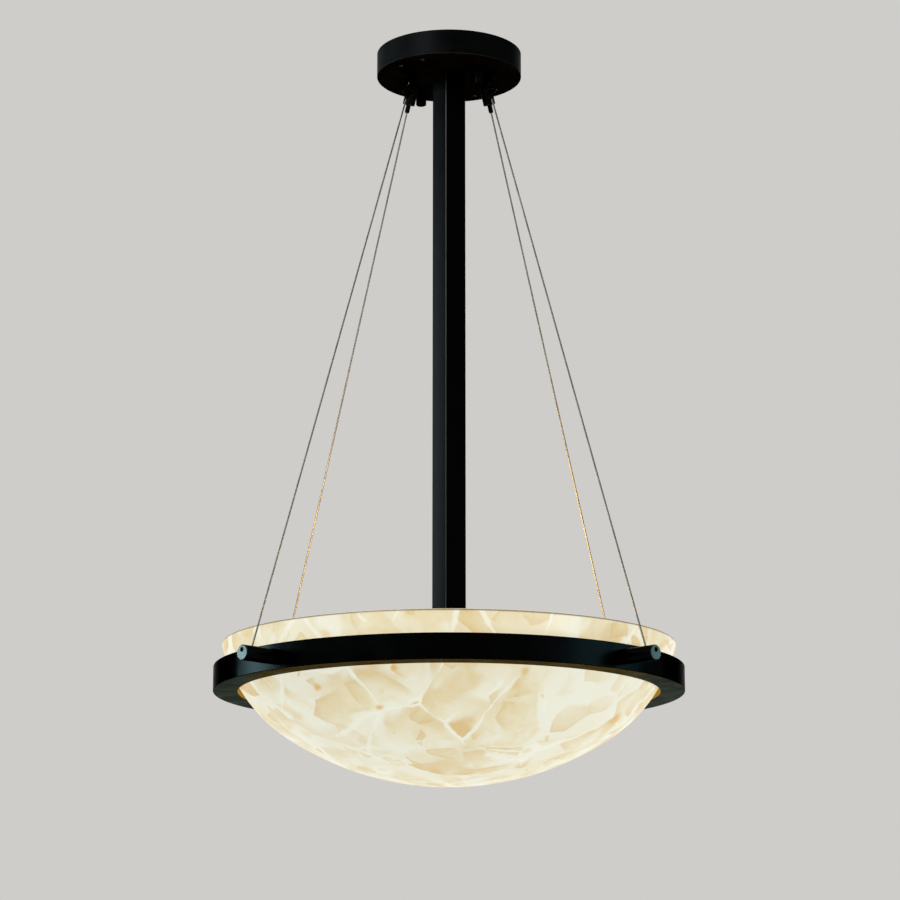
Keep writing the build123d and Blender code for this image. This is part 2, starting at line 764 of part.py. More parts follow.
# ---------------------------------------------------------------- bowl
with BuildPart() as bowl:
    with BuildSketch(Plane.XZ):
        with BuildLine():
            bowl_outline(0, rim_z)
        make_face()
    revolve(axis=Axis.Z)
    with BuildSketch(Plane.XZ):
        with BuildLine():
            bowl_outline(bowl_wall, rim_z)
        make_face()
    revolve(axis=Axis.Z, mode=Mode.SUBTRACT)
    rim_edges = bowl.edges().filter_by(GeomType.CIRCLE).group_by(Axis.Z)[-1]
    fillet(rim_edges, bowl_rim_rounding)
keep(bowl.part, "bowl")

# ---------------------------------------------------------------- lamp hub, sockets and lamps
with BuildPart() as hub:
    with BuildSketch(Plane.XY.offset(hub_bottom_z)):
        RectangleRounded(hub_side, hub_side, hub_corner_radius, rotation=stem_turn)
    extrude(amount=hub_height)
    with BuildSketch(Plane.XY.offset(hub_bottom_z)):
        RectangleRounded(
            2 * hub_inner_half, 2 * hub_inner_half, hub_corner_radius - hub_wall, rotation=stem_turn
        )
        with PolarLocations(boss_circle_radius, 2, stem_turn + 45):
            Circle(hub_boss_radius, mode=Mode.SUBTRACT)
    extrude(amount=hub_height - hub_wall, mode=Mode.SUBTRACT)
    with BuildSketch(Plane.XY.offset(hub_bottom_z)):
        with PolarLocations(boss_circle_radius, 2, stem_turn + 45):
            Circle(cover_screw_radius + fit_clearance)
    extrude(amount=cover_screw_length, mode=Mode.SUBTRACT)
    with BuildSketch(Plane.XY.offset(hub_top_z)):
        Circle(nipple_radius + fit_clearance)
    extrude(amount=-hub_wall, mode=Mode.SUBTRACT)
    for angle in lamp_angles:
        with BuildSketch(Plane(origin=Vector(0, 0, hub_centre_z), z_dir=on_circle(1, angle))):
            Circle(socket_shank_radius + fit_clearance)
        extrude(amount=hub_side, mode=Mode.SUBTRACT)
keep(hub.part, "hub")

with BuildPart() as hub_cover:
    with BuildSketch(Plane.XY.offset(hub_bottom_z)):
        RectangleRounded(hub_side, hub_side, hub_corner_radius, rotation=stem_turn)
        with PolarLocations(boss_circle_radius, 2, stem_turn + 45):
            Circle(cover_screw_radius + fit_clearance, mode=Mode.SUBTRACT)
    extrude(amount=-hub_cover_thickness)
    chamfer(hub_cover.faces().sort_by(Axis.Z)[0].outer_wire().edges(), hub_cover_thickness / 3)
keep(hub_cover.part, "hub_cover")

with BuildPart() as cover_screws:
    with BuildSketch(Plane.XY.offset(hub_bottom_z - hub_cover_thickness)):
        with PolarLocations(boss_circle_radius, 2, stem_turn + 45):
            Circle(cover_screw_head_radius)
    extrude(amount=-cover_screw_head_radius / 2, taper=20)
    with BuildSketch(Plane.XY.offset(hub_bottom_z - hub_cover_thickness)):
        with PolarLocations(boss_circle_radius, 2, stem_turn + 45):
            Circle(cover_screw_radius)
    extrude(amount=cover_screw_length)
keep(cover_screws.part, "cover_screws")

socket_end = hub_half + socket_length
socket_floor = socket_end - socket_bore_depth
cap_start = socket_floor + seat_gap
cap_end = cap_start + socket_bore_depth
neck_end = cap_end + lamp_neck_length
globe_centre = neck_end + sqrt(lamp_globe_radius**2 - lamp_neck_radius**2)
globe_inner = lamp_globe_radius - lamp_globe_wall
globe_mouth = sqrt(globe_inner**2 - (globe_centre - neck_end) ** 2)

for step, angle in enumerate(lamp_angles, start=1):
    plane = upright(angle, hub_centre_z)
    axis = radial_axis(angle, hub_centre_z)

    with BuildPart() as socket:
        with BuildSketch(plane):
            with BuildLine():
                Polyline(
                    (hub_half - socket_shank_length, socket_wire_radius),
                    (hub_half - socket_shank_length, socket_shank_radius),
                    (hub_half, socket_shank_radius),
                    (hub_half, socket_radius),
                    (socket_end - socket_edge, socket_radius),
                    (socket_end, socket_radius - socket_edge),
                    (socket_end, lamp_cap_radius + fit_clearance),
                    (socket_floor, lamp_cap_radius + fit_clearance),
                    (socket_floor, socket_wire_radius),
                    close=True,
                )
            make_face()
        revolve(axis=axis)
    keep(socket.part, f"socket_{step}")

    with BuildPart() as lamp_base:
        with BuildSketch(plane):
            with BuildLine():
                Polyline(
                    (cap_start, 0),
                    (cap_start, lamp_cap_radius / 2),
                    (cap_start + 2, lamp_cap_radius),
                    (cap_end, lamp_cap_radius),
                    (cap_end, lamp_neck_radius - 1),
                    (neck_end, lamp_neck_radius),
                    (neck_end, 0),
                    close=True,
                )
            make_face()
        revolve(axis=axis)
    keep(lamp_base.part, f"lamp_base_{step}")

    with BuildPart() as lamp_globe:
        with BuildSketch(plane):
            with BuildLine():
                ThreePointArc(
                    (neck_end, lamp_neck_radius),
                    (globe_centre, lamp_globe_radius),
                    (globe_centre + lamp_globe_radius, 0),
                )
                Line((globe_centre + lamp_globe_radius, 0), (globe_centre + globe_inner, 0))
                ThreePointArc(
                    (globe_centre + globe_inner, 0),
                    (globe_centre, globe_inner),
                    (neck_end, globe_mouth),
                )
                Line((neck_end, globe_mouth), (neck_end, lamp_neck_radius))
            make_face()
        revolve(axis=axis)
    keep(lamp_globe.part, f"lamp_globe_{step}")

with BuildPart() as socket_nuts:
    for angle in lamp_angles:
        outwards = on_circle(1, angle)
        inner_face = outwards * hub_inner_half + Vector(0, 0, hub_centre_z)
        with BuildSketch(Plane(origin=inner_face, x_dir=(0, 0, 1), z_dir=outwards)):
            RegularPolygon(hex_radius(socket_nut_across_flats), 6)
            Circle(socket_shank_radius + fit_clearance, mode=Mode.SUBTRACT)
        extrude(amount=-socket_nut_height)
keep(socket_nuts.part, "socket_nuts")
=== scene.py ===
import json
from math import cos, pi, radians, sin, tau

import bmesh
import bpy
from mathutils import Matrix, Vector


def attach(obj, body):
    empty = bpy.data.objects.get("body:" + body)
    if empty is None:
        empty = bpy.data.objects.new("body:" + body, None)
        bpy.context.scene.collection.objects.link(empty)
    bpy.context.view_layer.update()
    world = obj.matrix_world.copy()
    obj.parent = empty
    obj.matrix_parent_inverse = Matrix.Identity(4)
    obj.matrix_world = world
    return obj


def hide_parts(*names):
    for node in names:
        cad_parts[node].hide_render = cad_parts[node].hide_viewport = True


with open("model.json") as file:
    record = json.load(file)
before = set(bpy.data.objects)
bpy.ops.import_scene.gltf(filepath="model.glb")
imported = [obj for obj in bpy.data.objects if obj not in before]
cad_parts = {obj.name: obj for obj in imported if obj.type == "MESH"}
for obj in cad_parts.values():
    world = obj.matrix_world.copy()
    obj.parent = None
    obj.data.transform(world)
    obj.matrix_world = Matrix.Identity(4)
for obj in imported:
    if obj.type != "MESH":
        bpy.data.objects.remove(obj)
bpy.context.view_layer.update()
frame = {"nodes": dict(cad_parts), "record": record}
nodes = frame["nodes"]
corners = ("front_left", "front_right", "back_left", "back_right")

# ---------------------------------------------------------------- camera

camera_distance = 2.903
camera_height = -1.078
camera_side = 0.001
camera_pitch = 12.62            # degrees above level
camera_lens = 116.0             # mm
camera_sensor = 36.0            # mm wide

camera_data = bpy.data.cameras.new("camera")
camera_data.lens = camera_lens
camera_data.sensor_width = camera_sensor
camera = bpy.data.objects.new("camera", camera_data)
camera.location = (camera_side, -camera_distance, camera_height)
camera.rotation_euler = (radians(90 + camera_pitch), 0, 0)
bpy.context.scene.collection.objects.link(camera)
bpy.context.scene.camera = camera
bpy.context.scene.view_settings.view_transform = "Standard"


# ---------------------------------------------------------------- material nodes

class Finish:
    """A material's nodes, with a short call for each kind.

    Textures are laid out in metres, in the part's frame.
    """

    def __init__(self, material):
        self.material = material
        self.tree = material.node_tree
        self.shader = self.tree.nodes["Principled BSDF"]
        coordinates = self.node("TexCoord").outputs
        self.place = coordinates["Object"]
        self.normal = coordinates["Normal"]

    @classmethod
    def new(cls, name):
        material = bpy.data.materials.new(name)
        material.use_nodes = True
        return cls(material)

    def put(self, socket, value):
        """Links an output to a socket, or sets the socket's own value."""
        if isinstance(value, bpy.types.NodeSocket):
            self.tree.links.new(value, socket)
        elif hasattr(value, "__len__") and len(value) == 3 and len(socket.default_value) == 4:
            socket.default_value = (*value, 1.0)
        else:
            socket.default_value = value

    def set(self, **values):
        """Sets the shader's inputs by name, with _ for a space."""
        for name, value in values.items():
            self.put(self.shader.inputs[name.replace("_", " ")], value)

    def node(self, kind, **settings):
        made = self.tree.nodes.new("ShaderNode" + kind)
        for name, value in settings.items():
            setattr(made, name, value)
        return made

    def noise(self, scale, detail=2.0, roughness=0.5, distortion=0.0, at=None, output="Fac"):
        made = self.node("TexNoise")
        self.put(made.inputs["Vector"], at or self.place)
        self.put(made.inputs["Scale"], scale)
        self.put(made.inputs["Detail"], detail)
        self.put(made.inputs["Roughness"], roughness)
        self.put(made.inputs["Distortion"], distortion)
        return made.outputs[output]

    def voronoi(self, scale, at, feature="F1"):
        made = self.node("TexVoronoi", feature=feature)
        self.put(made.inputs["Vector"], at)
        self.put(made.inputs["Scale"], scale)
        return made.outputs

    def math(self, operation, a, b=0.0):
        made = self.node("Math", operation=operation)
        self.put(made.inputs[0], a)
        self.put(made.inputs[1], b)
        return made.outputs[0]

    def vector(self, operation, a, b=None, scale=None):
        made = self.node("VectorMath", operation=operation)
        self.put(made.inputs[0], a)
        if b is not None:
            self.put(made.inputs[1], b)
        if scale is not None:
            self.put(made.inputs["Scale"], scale)
        name = "Value" if operation in ("DOT_PRODUCT", "LENGTH", "DISTANCE") else "Vector"
        return made.outputs[name]

    def span(self, value, low, high, to_low=0.0, to_high=1.0, smooth=True):
        """Maps low..high to to_low..to_high, held at both ends."""
        made = self.node("MapRange", interpolation_type="SMOOTHSTEP" if smooth else "LINEAR")
        for name, number in (("Value", value), ("From Min", low), ("From Max", high),
                             ("To Min", to_low), ("To Max", to_high)):
            self.put(made.inputs[name], number)
        return made.outputs["Result"]

    def mix(self, share, a, b, blend="MIX"):
        made = self.node("Mix", data_type="RGBA", blend_type=blend)
        self.put(made.inputs["Factor"], share)
        self.put(made.inputs[6], a)
        self.put(made.inputs[7], b)
        return made.outputs[2]

    def ramp(self, value, *stops):
        """Colours at places from 0 to 1, as (place, colour)."""
        made = self.node("ValToRGB")
        self.put(made.inputs["Fac"], value)
        while len(made.color_ramp.elements) < len(stops):
            made.color_ramp.elements.new(0.5)
        for element, (place, colour) in zip(made.color_ramp.elements, stops):
            element.position = place
            element.color = (*colour, 1.0)
        return made.outputs["Color"]

    def parts(self, vector):
        made = self.node("SeparateXYZ")
        self.put(made.inputs[0], vector)
        return made.outputs

    def level(self):
        """A point's place with its height left out."""
        return self.vector("MULTIPLY", self.place, (1, 1, 0))

    def bump(self, height, strength, distance):
        made = self.node("Bump")
        self.put(made.inputs["Height"], height)
        self.put(made.inputs["Strength"], strength)
        self.put(made.inputs["Distance"], distance)
        self.set(Normal=made.outputs["Normal"])


# ---------------------------------------------------------------- black coat

# where the painted highlights, the painted shade and the pegs' lighter end faces lie, in metres
stem_turn = 34.5                # of the square stem about Z, in degrees
stem_half = 0.0127              # half the stem's width
canopy_bottom = -0.0255
canopy_out = 0.0760             # the canopy's radius
peg_end = 0.27606               # from the axis to the pegs' end faces

# how far in from such an edge the painted highlight (on the pegs, the lighter end face) begins,
# and how far in it is full
stem_highlight_band = (0.0009, 0.0005)
canopy_highlight_up = (0.0010, 0.0004)
canopy_highlight_in = (0.0010, 0.0005)
peg_end_band = (0.0008, 0.0003)

# coats: what they mirror straight on, in their darker and their lighter clouds
plain_coat = ((0.0020, 0.0022, 0.0024), (0.0038, 0.0043, 0.0047))
deep_coat = ((0.0009, 0.0010, 0.0011), (0.0017, 0.0020, 0.0022))
screw_coat = ((0.016, 0.022, 0.018), (0.028, 0.036, 0.031))

# colours at chosen places on a coat: painted shade across the stem's faces, painted highlights on
# the canopy's lower edge and the stem's corners, and the pegs' lighter end face
face_shade_colour = (0.0008, 0.0009, 0.0010)
edge_highlight_colour = (0.0070, 0.0077, 0.0078)
corner_highlight_colour = (0.045, 0.047, 0.048)
lighter_end_colour = (0.034, 0.038, 0.039)

# tints: how much faces mirror when they are seen edge-on; the lower tints on faces that look down
# and on the ring's sides are painted shade, and the ring underside's tints are painted reflections
wall_tint = (0.50, 0.50, 0.50)  # upright faces
# painted shade: the ring's wall mirrors less at its two sides
side_shade_tint = (0.11, 0.11, 0.11)  # the ring's wall at its two sides
down_shade_tint = (0.25, 0.25, 0.25)  # faces that look down
# painted reflections on the ring's underside: of the room at its sides and of the lit bowl at its
# front and back
room_reflection_tint = (0.20, 0.25, 0.19)  # the ring's underside at its two sides
bowl_reflection_tint = (0.29, 0.21, 0.02)  # the ring's underside at its front and back


def satin_black(name, rough=0.34, coat=plain_coat, walls=None, under=None, brighter=None):
    """Black coat on metal: faintly cloudy, with a fine even grain, and dark even edge-on.

    walls(f) and under(f) tint what upright faces and faces that look down show edge-on; the lower
    tint on faces that look down is a painted shade.
    brighter(f, colour) may change the colour at chosen places, for painted highlights, painted
    shade and lighter end faces.
    """
    f = Finish.new(name)
    cloud = f.noise(38, detail=4, roughness=0.6)
    grain = f.noise(2600, detail=2)
    colour = f.ramp(cloud, (0.3, coat[0]), (0.72, coat[1]))
    f.set(Metallic=1.0)
    f.set(Base_Color=brighter(f, colour) if brighter else colour)
    facing = f.parts(f.normal)[2]
    upright = walls(f) if walls else wall_tint
    below = under(f) if under else down_shade_tint
    # edge-on tint by facing: faces that look down get a painted shade
    f.set(Specular_Tint=f.mix(f.span(facing, -0.4, -0.8), upright, below))
    f.set(Roughness=f.math("ADD", f.span(cloud, 0.3, 0.7, rough - 0.04, rough + 0.05),
                           f.math("MULTIPLY", grain, 0.05)))
    f.bump(grain, strength=0.12, distance=0.00006)
    return f.material


def stem_painted_light(f, colour):
    """The square stem's coat, with a painted highlight along its corners and painted shade
    darkening each face towards one side.
    """
    turned = f.node("VectorRotate", rotation_type="Z_AXIS")
    f.put(turned.inputs["Vector"], f.place)
    f.put(turned.inputs["Angle"], radians(-stem_turn))
    across = f.parts(turned.outputs["Vector"])
    # painted shade: each face darker towards one side
    shade_share = f.span(across[1], stem_half, -stem_half, 0.0, 0.8, smooth=False)
    colour = f.mix(shade_share, colour, face_shade_colour)
    # painted highlight along the stem's corners
    near_corner = f.math("MINIMUM", f.math("ABSOLUTE", across[0]), f.math("ABSOLUTE", across[1]))
    highlight_share = f.span(near_corner, stem_half - stem_highlight_band[0], stem_half - stem_highlight_band[1])
    return f.mix(highlight_share, colour, corner_highlight_colour)


def canopy_painted_highlight(f, colour):
    """The canopy's coat, with a painted highlight along its lower outer edge."""
    out = f.vector("LENGTH", f.level())
    height = f.parts(f.place)[2]
    low = f.span(height, canopy_bottom + canopy_highlight_up[0], canopy_bottom + canopy_highlight_up[1])
    outer = f.span(out, canopy_out - canopy_highlight_in[0], canopy_out - canopy_highlight_in[1])
    # painted highlight along the canopy's lower outer edge
    return f.mix(f.math("MULTIPLY", low, outer), colour, edge_highlight_colour)


def peg_lighter_end(f, colour):
    """The coat of a peg, with a lighter end face."""
    out = f.vector("LENGTH", f.level())
    return f.mix(f.span(out, peg_end - peg_end_band[0], peg_end - peg_end_band[1]), colour, lighter_end_colour)


def bearing(f):
    """How far a point lies to either side, and to the front or back, as shares of its radius."""
    around = f.parts(f.vector("NORMALIZE", f.level()))
    return f.math("ABSOLUTE", around[0]), f.math("ABSOLUTE", around[1])


def ring_wall_shade(f):
    """The tint of the ring's wall, which mirrors little edge-on at its two sides: a painted shade.
    """
    return f.mix(f.span(bearing(f)[0], 0.86, 0.94), wall_tint, side_shade_tint)


def flange_under_reflection(f):
    """The tint of the ring's underside: painted reflections of the lit bowl at front and back, and
    of the room at the sides.
    """
    return f.mix(f.span(bearing(f)[1], 0.45, 0.75), room_reflection_tint, bowl_reflection_tint)


def lit_by_bowl(material, colour, strength):
    """Paints the bowl's glow as emission on the faces of a round piece that look inward: painted
    light.
    """
    f = Finish(material)
    outward = f.vector("NORMALIZE", f.level())
    share = f.span(f.vector("DOT_PRODUCT", f.normal, outward), -0.3, -0.9)
    f.set(Emission_Color=colour)
    f.set(Emission_Strength=f.math("MULTIPLY", share, strength))


# ---------------------------------------------------------------- other plain finishes

streak_stretch = 0.06           # the scale along Z of what is drawn or rolled


def bare_metal(name, dark, light, rough, grain_scale=900):
    """Bare or plated metal, drawn or rolled along Z."""
    f = Finish.new(name)
    along = f.vector("MULTIPLY", f.place, (1, 1, streak_stretch))
    streaks = f.noise(grain_scale, detail=3, at=along)
    patches = f.noise(60, detail=4, roughness=0.65)
    mixed = f.math("ADD", f.math("MULTIPLY", streaks, 0.5), f.math("MULTIPLY", patches, 0.5))
    f.set(Base_Color=f.ramp(mixed, (0.32, dark), (0.68, light)))
    f.set(Metallic=1.0)
    f.set(Roughness=f.span(streaks, 0.3, 0.7, rough - 0.07, rough + 0.1))
    f.bump(streaks, strength=0.25, distance=0.00003)
    return f.material


def plastic(name, dark, light, rough=0.45):
    """Moulded plastic with a faint bloom and a fine texture."""
    f = Finish.new(name)
    bloom = f.noise(90, detail=3)
    grain = f.noise(1800, detail=2)
    f.set(Base_Color=f.ramp(bloom, (0.3, dark), (0.7, light)))
    f.set(Roughness=f.span(bloom, 0.3, 0.7, rough - 0.06, rough + 0.06))
    f.bump(grain, strength=0.1, distance=0.00004)
    return f.material


def opal_glass(name, dark, light, glow_colour, glow):
    """White glass round a lit lamp."""
    f = Finish.new(name)
    f.set(Base_Color=f.ramp(f.noise(40), (0.3, dark), (0.7, light)))
    f.set(Roughness=f.span(f.noise(300), 0.3, 0.7, 0.22, 0.32))
    f.set(Emission_Color=glow_colour)
    f.set(Emission_Strength=glow)
    return f.material


# ---------------------------------------------------------------- alabaster

stone_white = (0.865, 0.865, 0.720)
stone_cream = (0.850, 0.810, 0.620)
vein_white = (0.900, 0.905, 0.770)
chip_pale = (0.820, 0.745, 0.505)
chip_tan = (0.765, 0.635, 0.360)
chip_dark = (0.725, 0.525, 0.235)
spot_amber = (0.740, 0.440, 0.110)
rim_brown = (0.130, 0.080, 0.035)
middle_grey = (0.5, 0.5, 0.5)

stone_glow = 0.725
inner_share = 0.8               # of the glow, on faces that look up
rim_share = 0.25                # of the glow, on the flat of the rim
unlit = (0.45, 0.45, 0.45)      # the stone's own colour as a share of its lit colour

rim_top = -0.6314
rim_line = 0.0018               # height of the dark line below rim_top
rim_flat = (0.0008, 0.0002)     # below rim_top, where the flat begins and where it is full

# sizes of chip: cells per metre, share of cells, cover, and a shift of the pattern
chip_sizes = ((9, 0.8, 0.5, 0.31), (14, 0.9, 0.95, 0.0),
              (22, 0.6, 0.85, 0.57), (40, 0.35, 0.7, 0.83))
chip_tones = ((0.05, stone_white), (0.30, chip_pale), (0.62, chip_tan), (1.0, chip_dark))
tone_by_chance = 0.55           # shares of a chip's tone
tone_by_side = 0.25
tone_by_shore = 0.35
vein_scale = 14                 # the white veins follow the chips of this size

bright_reach = (0.075, 0.02)    # from a bright place, where it begins and where it is full
bright_share = 0.40
mark_core = 0.2                 # of a mark's size, where its colour is full
mark_share = 0.8
speck_scale = 26                # cells per metre
speck_chance = 0.12             # share of cells with a speck
speck_reach = (0.22, 0.05)      # in cells, where a speck begins and where it is full
speck_share = 0.45

# places on the bowl, in metres: where the lamps show through, painted as paler stone, and marks in
# the stone
bright_places = ((-0.103, -0.083, -0.741), (0.129, -0.138, -0.702),
                 (0.103, 0.083, -0.741), (-0.129, 0.138, -0.702))
amber_marks = (((-0.0606, -0.1932, -0.6863), 0.0055), ((0.1604, -0.0696, -0.7149), 0.0120),
               ((0.0712, -0.1919, -0.6833), 0.0080), ((-0.1235, -0.1528, -0.6939), 0.0060),
               ((-0.0679, -0.1595, -0.7159), 0.0060), ((-0.0511, -0.1362, -0.7340), 0.0050))


def shaken(f, scale, detail, reach):
    """A random step from each point, at most half of reach along each axis."""
    step = f.vector("SUBTRACT", f.noise(scale, detail=detail, output="Color"), middle_grey)
    return f.vector("SCALE", step, scale=reach)


def chips(f, at, scale, share, vein, strength):
    """One size of stone chip: how much it covers at a point, and its tone there from 0 to 1.

    Each chip is crisp and dark along one side and fades out towards the other.
    """
    cells = f.voronoi(scale, at)
    edge = f.voronoi(scale, at, "DISTANCE_TO_EDGE")["Distance"]
    draw = f.parts(cells["Color"])
    side = f.vector("NORMALIZE", f.vector("SUBTRACT", cells["Color"], middle_grey))
    reach = f.vector("SCALE", f.vector("SUBTRACT", at, cells["Position"]), scale=scale)
    crisp = f.span(f.vector("DOT_PRODUCT", side, reach), -0.30, 0.35)
    far = f.math("ADD", vein, f.span(crisp, 0.0, 1.0, 0.24, 0.02, smooth=False))
    there = f.math("LESS_THAN", draw[0], share)
    cover = f.math("MULTIPLY", there, f.span(edge, vein, far))
    shore = f.math("MULTIPLY", crisp, f.span(edge, 0.0, 0.30, 1.0, 0.0))
    tone = f.math("ADD", f.math("MULTIPLY", draw[1], tone_by_chance),
                  f.math("MULTIPLY", crisp, tone_by_side))
    tone = f.math("ADD", tone, f.math("MULTIPLY", shore, tone_by_shore))
    return f.math("MULTIPLY", cover, strength), tone


def white_veins(f, at):
    """How much of a white vein lies at a point: they widen, thin out and end at random."""
    edge = f.voronoi(vein_scale, at, "DISTANCE_TO_EDGE")["Distance"]
    patchy = f.noise(16, detail=2, at=at)
    wide = f.span(patchy, 0.46, 0.66, 0.008, 0.050)
    shape = f.span(edge, wide, f.math("MULTIPLY", wide, 0.35))
    return f.math("MULTIPLY", shape, f.span(patchy, 0.44, 0.54, 0.0, 0.75))


def alabaster(name, glow):
    """Pale stone chips of several sizes in a lighter ground, lit from inside by painted light: an
    emission glow and paler stone where the lamps show through.
    """
    f = Finish.new(name)
    bend = shaken(f, 11, detail=1, reach=0.030)
    fray = shaken(f, 75, detail=3, reach=0.0055)
    at = f.vector("ADD", f.place, f.vector("ADD", bend, fray))
    cloud = f.noise(9, detail=4, roughness=0.55, at=at)
    feather = f.noise(42, detail=6, roughness=0.62, distortion=0.6, at=at)
    colour = f.ramp(cloud, (0.35, stone_white), (0.70, stone_cream))

    vein = f.span(f.noise(11, detail=1), 0.35, 0.68, 0.012, 0.085)
    for scale, share, strength, shift in chip_sizes:
        moved = f.vector("ADD", at, (shift, shift, shift))
        cover, tone = chips(f, moved, scale, share, vein, strength)
        tone = f.math("ADD", tone, f.span(feather, 0.3, 0.7, -0.12, 0.12))
        colour = f.mix(cover, colour, f.ramp(tone, *chip_tones))
    colour = f.mix(white_veins(f, at), colour, vein_white)

    # painted light: paler stone round the places where the lamps show through
    for centre in bright_places:
        away = f.vector("DISTANCE", at, centre)
        colour = f.mix(f.span(away, *bright_reach, 0.0, bright_share), colour, stone_white)
    specks = f.voronoi(speck_scale, at)
    chosen = f.math("LESS_THAN", f.parts(specks["Color"])[2], speck_chance)
    speck = f.span(specks["Distance"], *speck_reach, 0.0, speck_share)
    colour = f.mix(f.math("MULTIPLY", chosen, speck), colour, spot_amber)
    for centre, size in amber_marks:
        away = f.vector("DISTANCE", at, centre)
        colour = f.mix(f.span(away, size, size * mark_core, 0.0, mark_share), colour, spot_amber)

    # a dark line round the rim's outer edge, and a rim whose flat top glows little
    height = f.parts(f.place)[2]
    facing = f.parts(f.normal)[2]
    line = f.math("MULTIPLY", f.span(height, rim_top - rim_line, rim_top),
                  f.span(facing, 0.9, 0.6, 0.0, 0.9))
    flat = f.math("MULTIPLY", f.span(height, rim_top - rim_flat[0], rim_top - rim_flat[1]),
                  f.span(facing, 0.6, 0.9))
    dull = f.mix(1.0, colour, unlit, blend="MULTIPLY")
    pale = f.mix(0.6, colour, stone_cream)
    f.set(Base_Color=f.mix(flat, f.mix(line, dull, rim_brown), pale))
    f.set(Roughness=f.span(feather, 0.3, 0.7, 0.24, 0.34))
    # painted light: the stone's glow from the lamps inside, as emission
    f.set(Emission_Color=f.mix(line, colour, rim_brown))
    inside = f.span(facing, 0.0, 0.15, glow, glow * inner_share)
    f.set(Emission_Strength=f.mix(flat, inside, (glow * rim_share,) * 3))
    f.bump(f.noise(120, detail=3), strength=0.05, distance=0.0004)
    return f.material


# ---------------------------------------------------------------- finishes of the parts

black_canopy = satin_black("canopy_black", rough=0.40, brighter=canopy_painted_highlight)
black_stem = satin_black("stem_black", brighter=stem_painted_light)
# the ring: painted shade at its sides and painted reflections on its underside, through its tints
black_ring = satin_black("ring_black", rough=0.27, coat=deep_coat,
                         walls=ring_wall_shade, under=flange_under_reflection)
# painted light: the bowl's warm glow as emission on the ring's inward faces
lit_by_bowl(black_ring, colour=(0.42, 0.22, 0.03), strength=0.8)
black_peg = satin_black("peg_black", rough=0.32, brighter=peg_lighter_end)
black_fitting = satin_black("fitting_black")
black_screw = satin_black("screw_black", rough=0.25, coat=screw_coat)
zinc = bare_metal("zinc", (0.42, 0.43, 0.45), (0.62, 0.63, 0.64), 0.38)
fastener = bare_metal("fastener", (0.45, 0.45, 0.46), (0.70, 0.70, 0.70), 0.26)
brass = bare_metal("brass", (0.55, 0.38, 0.12), (0.78, 0.58, 0.24), 0.30)
wire_steel = bare_metal("wire_steel", (0.085, 0.088, 0.072), (0.26, 0.265, 0.24), 0.36,
                        grain_scale=2500)
lamp_cap = bare_metal("lamp_cap", (0.60, 0.60, 0.60), (0.78, 0.78, 0.77), 0.25)
ground_green = plastic("ground_green", (0.01, 0.16, 0.04), (0.02, 0.24, 0.06))
sheath_black = plastic("sheath_black", (0.012, 0.012, 0.012), (0.025, 0.025, 0.025))
connector = plastic("connector_plastic", (0.62, 0.60, 0.52), (0.72, 0.70, 0.62), 0.40)
socket_black = plastic("socket_black", (0.012, 0.012, 0.013), (0.022, 0.022, 0.024), 0.40)
silicone = plastic("pad_silicone", (0.55, 0.42, 0.22), (0.66, 0.52, 0.30), 0.50)
stone = alabaster("alabaster_stone", stone_glow)
opal = opal_glass("lamp_opal", (0.28, 0.26, 0.22), (0.31, 0.29, 0.25),
                  glow_colour=(1.0, 0.86, 0.60), glow=0.85)

finish_of_slot = {
    "canopy_metal": black_canopy, "stem_metal": black_stem, "ring_metal": black_ring,
    "peg_metal": black_peg, "gripper_metal": black_fitting, "sleeve_metal": black_fitting,
    "nut_metal": black_fitting, "cable_steel": wire_steel, "alabaster": stone,
    "pad_silicone": silicone, "zinc_steel": zinc, "fastener_steel": fastener,
    "nipple_brass": brass, "ground_green": ground_green, "cable_sheath": sheath_black,
    "connector_plastic": connector, "socket_black": socket_black, "lamp_base": lamp_cap,
    "lamp_globe": opal,
}
finish_of_node = {"plate_screws": black_screw}

for row in frame["record"]["subparts"]:
    surface = nodes[row["node"]].data
    surface.materials.clear()
    surface.materials.append(finish_of_node.get(row["node"], finish_of_slot[row["material_slot"]]))


# ---------------------------------------------------------------- cables

strand_count = 6
strand_points = 5               # across the outward side of a strand
strand_arc = radians(200)       # how much of a strand's own circle shows
lay_length = 0.0105             # along the cable for one turn of the strands
rings_per_turn = 12
strand_relief = 0.0001          # how far the strands stand out of the plain rod


def ends_of(node):
    """Centres of a straight round rod's lower and upper end."""
    points = [v.co for v in nodes[node].data.vertices]
    middle = (min(p.z for p in points) + max(p.z for p in points)) / 2
    centres = []
    for half in ([p for p in points if p.z < middle], [p for p in points if p.z > middle]):
        low = Vector(min(p[i] for p in half) for i in range(3))
        high = Vector(max(p[i] for p in half) for i in range(3))
        centres.append((low + high) / 2)
    return centres


def rod_radius(node):
    """Radius of a straight round rod."""
    low, high = ends_of(node)
    axis = (high - low).normalized()
    point = nodes[node].data.vertices[0].co
    return min((point - end - axis * (point - end).dot(axis)).length for end in (low, high))


